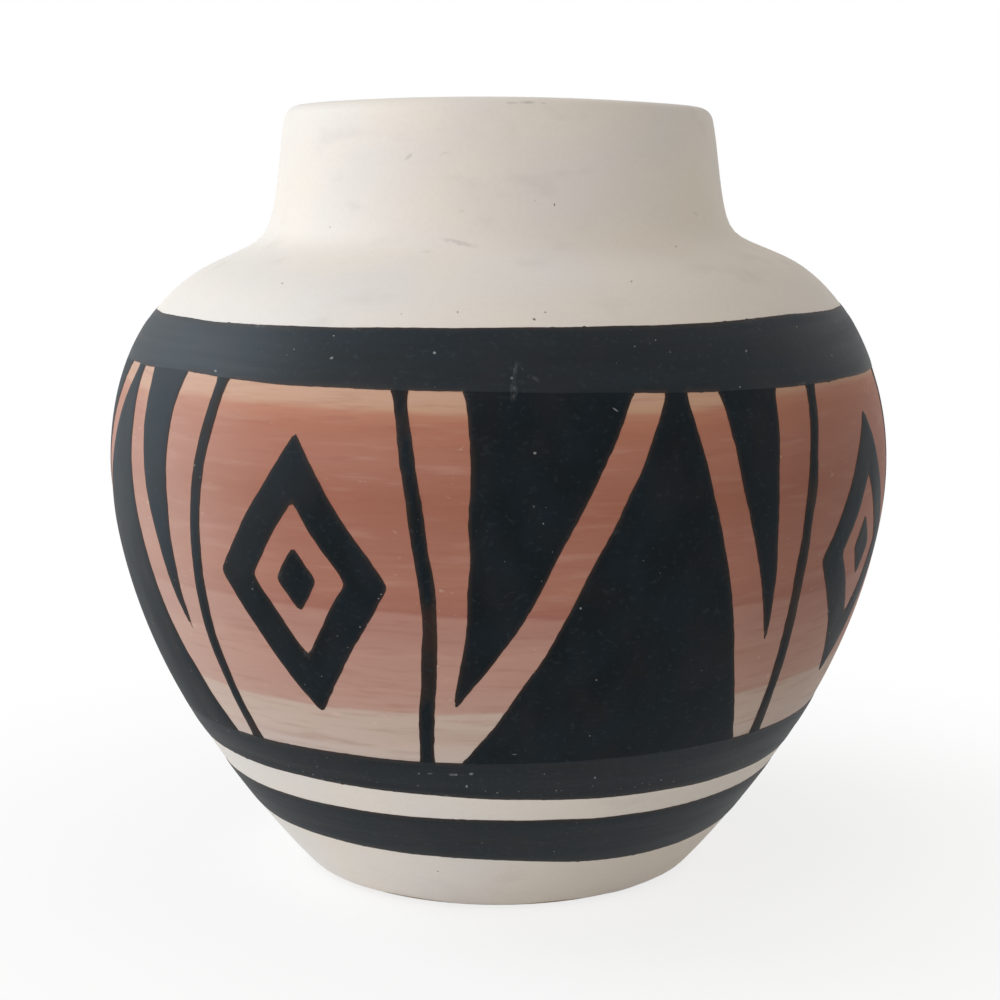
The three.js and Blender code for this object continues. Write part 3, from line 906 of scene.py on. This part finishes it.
def black_slip(name, gloss, wide, high, worn, thinned):
    """Black slip, brushed on thickly and fired to a dull satin. It thins to brown at its edges, shows the
    brush's way in its sheen, and carries pale specks of dust and a few scuffs. Gloss is how much light its
    surface mirrors, and wide and high are the size of a brush stroke. Worn says how strongly its edges are
    rubbed, in the stretches where they are, and thinned how brown it is where the brush ran dry."""
    made, tree, shader, place = start_finish(name, Specular_IOR_Level=gloss)
    height = add(tree, "SeparateXYZ", {0: place}).outputs["Z"]
    thin = add(tree, "Attribute", attribute_name="thin_edge").outputs["Fac"]
    strokes = patches(tree, place, wide, high, 0.25, 0.75, detail=3)
    ran_dry = patches(tree, place, 6, 9, 0.42, 0.7, thinned, seed=23)
    mottle = patches(tree, place, 0.8, 0.6, 0.54, 0.78, 0.35, detail=4, seed=15)
    rubs = patches(tree, place, 0.9, 0.6, 0.5, 0.68, detail=4, seed=17)
    rubbed_edge = add(tree, "Math", {0: thin, 1: rubs}, operation="MULTIPLY")
    rubbed_here = patches(tree, place, 13, 5, 0.56, 0.66, worn, seed=19)
    dust = specks(tree, place, 1.5, 0.14, seed=2)
    dusty_here = patches(tree, place, 16, 9, 0.5, 0.66, 0.75, seed=6)
    picked_up = specks(tree, place, 1.0, 0.17, 0.6, seed=9)
    off_laid_on = add(tree, "Math", {0: height, 1: LAID_ON_HEIGHT * MM}, operation="SUBTRACT")
    off_laid_on = add(tree, "Math", {0: off_laid_on}, operation="ABSOLUTE")
    laid_on = add(tree, "MapRange", {
        "Value": off_laid_on, "From Min": LAID_ON_REACH * MM, "From Max": LAID_ON_WIDTH * MM,
    })
    marks = [
        (strokes, "#141e25"),
        # A painted sheen on the left side.
        (mark_on_front(tree, place, *BLACK_PAINTED_SHEEN_LEFT), "#60686e"),
        (ran_dry, "#33261f"),
        (add(tree, "Math", {0: thin, 1: 0.55}, operation="MULTIPLY"), "#46352d"),
        (add(tree, "Math", {0: rubbed_edge, 1: rubbed_here}, operation="MULTIPLY"), "#8f8d89"),
        (mottle, "#303c43"),
        (add(tree, "Math", {0: dust, 1: dusty_here}, operation="MULTIPLY"), "#bfc0be"),
        (add(tree, "Math", {0: picked_up, 1: laid_on}, operation="MULTIPLY"), "#8b9091"),
        (specks(tree, place, 5.0, 0.18, 0.6, seed=4), "#a9aaa8"),
    ]
    patchy = patches(tree, place, 0.35, 0.9, 0.3, 0.75, detail=4, seed=2)
    for rub in BLACK_RUBS:
        mark = mark_on_front(tree, place, *rub)
        marks.append((add(tree, "Math", {0: mark, 1: patchy}, operation="MULTIPLY"), "#8d9293"))
    marks += [(mark_on_front(tree, place, *scuff), "#9da0a1") for scuff in BLACK_SCUFFS]
    coloured(tree, shader, linear("#091217"), marks)
    satin = add(tree, "MapRange", {"Value": strokes, "To Min": 0.51, "To Max": 0.59})
    tree.links.new(satin.outputs[0], shader.inputs["Roughness"])
    roughened(tree, shader, strokes, 0.03)
    return made


cream = cream_slip()
glaze = clear_glaze()
clay = bare_clay()
wash = terracotta_wash()
banded_black = black_slip("black_slip_banded_on_the_wheel", 0.23, 20, 1.5, 0.45, 0.1)
figure_black = black_slip("black_slip_brushed_freehand", 0.1, 5, 7, 0.12, 0.15)
line_black = black_slip("black_slip_drawn_with_a_liner", 0.1, 1.2, 9, 0.12, 0.8)


# The pieces

CLAY_ROW_STEP = 1.6


def clay_body():
    """The thrown and fettled clay: the whole outline, and under it a foot ring round a shallow recess."""
    ring_inside = FOOT[0] - FOOT_RING_WIDTH
    recess_edge = ring_inside - FOOT_RECESS
    # Radius and height of each row: on the recess, down its slope, over the ring and up its outer round.
    underside = np.array([
        (12, FOOT_RECESS),
        (recess_edge - 0.4, FOOT_RECESS), (recess_edge, FOOT_RECESS - 0.12),
        (ring_inside - 0.25, 0.1), (ring_inside + 0.3, 0),
        (FOOT[0] - 0.75, 0), (FOOT[0] - 0.15, 0.14),
    ])
    below = np.stack([
        underside[:, 0] * np.sin(skin_angles), -underside[:, 0] * np.cos(skin_angles),
        underside[:, 1] + 0 * skin_angles,
    ], axis=-1)
    runs = np.arange(FOOT_EDGE_ROUND, FLOOR_MIDDLE - OFF_THE_MIDDLE, CLAY_ROW_STEP)
    runs = np.sort(np.concatenate([runs, LIP_ROWS]))[None, :]
    points = np.concatenate([below, in_space(skin_angles, runs + 0 * skin_angles, 0)], axis=1)
    rows = points.shape[1]
    faces = ring_faces(SKIN_COLUMNS, rows, closed=False)
    points = np.concatenate([points.reshape(-1, 3), [[0, 0, FOOT_RECESS], [0, 0, FLOOR]]])
    for i in range(SKIN_COLUMNS):
        here, there = i * rows, (i + 1) % SKIN_COLUMNS * rows
        faces += [(there, here, len(points) - 2), (here + rows - 1, there + rows - 1, len(points) - 1)]
    make_piece("clay_wall_and_foot", points, faces, clay, ["clay_body"])


POURED_WAVERS = [(0.12, 24), (0.048, 8)]


def poured_edge(run, seed):
    """An edge all round at a run along the outline, as uneven as a poured and wiped one."""
    return run + uneven(seed, skin_angles, 0, *POURED_WAVERS)


clay_body()
slip_edge = poured_edge(run_at(SLIP_START), 31)
glaze_edge = poured_edge(LIP_CREST, 33)
skin("slip_skin", slip_edge, glaze_edge, HAIR, SLIP, cream, "slip_coat", "cream_slip", edge_height=0.6)
skin("glaze_skin", glaze_edge, FLOOR_MIDDLE, HAIR, GLAZE, glaze, "glaze_lining", "inside_glaze",
     edge_height=0.75)
skin("wash_skin", *WASH_EDGES, SLIP + HAIR, SLIP + HAIR + WASH, wash, "terracotta_belt", "terracotta_wash",
     edge=WASH_FEATHER)
for name, distance in bands.items():
    painted(name, distance, BANDED_BLACK, banded_black)
for name, distance in figures.items():
    finish = line_black if name.startswith("bow") else figure_black
    painted(name, np.minimum(distance, off_the_bands + UNDER_THE_BAND), FIGURE_BLACK, finish)


# Floor, light and camera

# From here on lengths are metres, but the lens is in millimetres. The floor keeps the jar's shadow within a
# reach of its middle, thinned by a share of glow, and is all glow beyond another.
FLOOR_REACH = 2.5
FLOOR_HEIGHT = -0.0001
SHADOW_WITHIN = 0.03
WHITE_BEYOND = 0.14
GLOW_AT_THE_FOOT = 0.78

ROOM_LIGHT = 0.47
JAR_MIDDLE = Vector((0, 0, 0.055))
LENS = 74.35
CAMERA_PLACE = (0.0002, -0.2948, 0.0991)
CAMERA_LOOKS_DOWN = 9.2


def shown_directly(tree):
    """1 for what the camera sees straight, in a gloss or through glass, and 0 for what lights the jar."""
    ray = add(tree, "LightPath")
    seen = ray.outputs["Is Camera Ray"]
    for also in ("Is Glossy Ray", "Is Transmission Ray"):
        seen = add(tree, "Math", {0: seen, 1: ray.outputs[also]}, operation="MAXIMUM")
    return seen


def white_floor():
    """A sheet of white card. It keeps the jar's soft shadow, and shows pure white further off."""
    made, tree, shader, place = start_finish("white_card", Roughness=1.0, Specular_IOR_Level=0.0)
    shader.inputs["Base Color"].default_value = linear("#f8f8f6")
    glow = add(tree, "Emission", {"Strength": 1.0})
    away = add(tree, "VectorMath", {0: place}, operation="LENGTH").outputs["Value"]
    spread = add(tree, "MapRange", {
        "Value": away, "From Min": SHADOW_WITHIN, "From Max": WHITE_BEYOND, "To Min": GLOW_AT_THE_FOOT,
    }, interpolation_type="SMOOTHSTEP")
    shown = add(tree, "Math", {0: spread, 1: shown_directly(tree)}, operation="MULTIPLY")
    mixed = add(tree, "MixShader", {0: shown, 1: shader, 2: glow})
    tree.links.new(mixed.outputs[0], tree.nodes["Material Output"].inputs["Surface"])
    mesh = bpy.data.meshes.new("floor")
    corners = [(-1, -1), (1, -1), (1, 1), (-1, 1)]
    points = [(FLOOR_REACH * x, FLOOR_REACH * y, FLOOR_HEIGHT) for x, y in corners]
    mesh.from_pydata(points, [], [(0, 1, 2, 3)])
    mesh.materials.append(made)
    floor = bpy.data.objects.new("floor", mesh)
    bpy.context.collection.objects.link(floor)


def white_room():
    """Even daylight all round, which lights the jar gently and shows as pure white."""
    world = bpy.data.worlds.new("white_room")
    bpy.context.scene.world = world
    world.use_nodes = True
    tree = world.node_tree
    room = tree.nodes["Background"]
    room.inputs["Color"].default_value = linear("#fffaf1")
    room.inputs["Strength"].default_value = ROOM_LIGHT
    white = add(tree, "Background", {"Color": (1, 1, 1, 1), "Strength": 1.0})
    mixed = add(tree, "MixShader", {0: shown_directly(tree), 1: room, 2: white})
    tree.links.new(mixed.outputs[0], tree.nodes["World Output"].inputs["Surface"])


def soft_lamp(name, place, size, power, colour):
    """A round lamp with a wide soft face, turned to the jar's middle."""
    lamp = bpy.data.lights.new(name, "AREA")
    lamp.shape = "DISK"
    lamp.size = size
    lamp.energy = power
    lamp.color = linear(colour)[:3]
    thing = bpy.data.objects.new(name, lamp)
    bpy.context.collection.objects.link(thing)
    thing.location = place
    thing.rotation_euler = (JAR_MIDDLE - Vector(place)).to_track_quat("-Z", "Y").to_euler()


white_floor()
white_room()
soft_lamp("window_light", (-0.68, 0.12, 0.5), 0.5, 3.1, "#e2f3ff")
soft_lamp("front_light", (-0.6, -0.6, 0.35), 0.6, 2.2, "#fefbff")

camera_data = bpy.data.cameras.new("camera")
camera_data.lens = LENS
camera_data.sensor_width = 36
camera_data.clip_start = 0.01
camera = bpy.data.objects.new("camera", camera_data)
bpy.context.collection.objects.link(camera)
camera.location = CAMERA_PLACE
camera.rotation_euler = (math.radians(90 - CAMERA_LOOKS_DOWN), 0, 0)
bpy.context.scene.camera = camera
bpy.context.scene.view_settings.view_transform = "Standard"
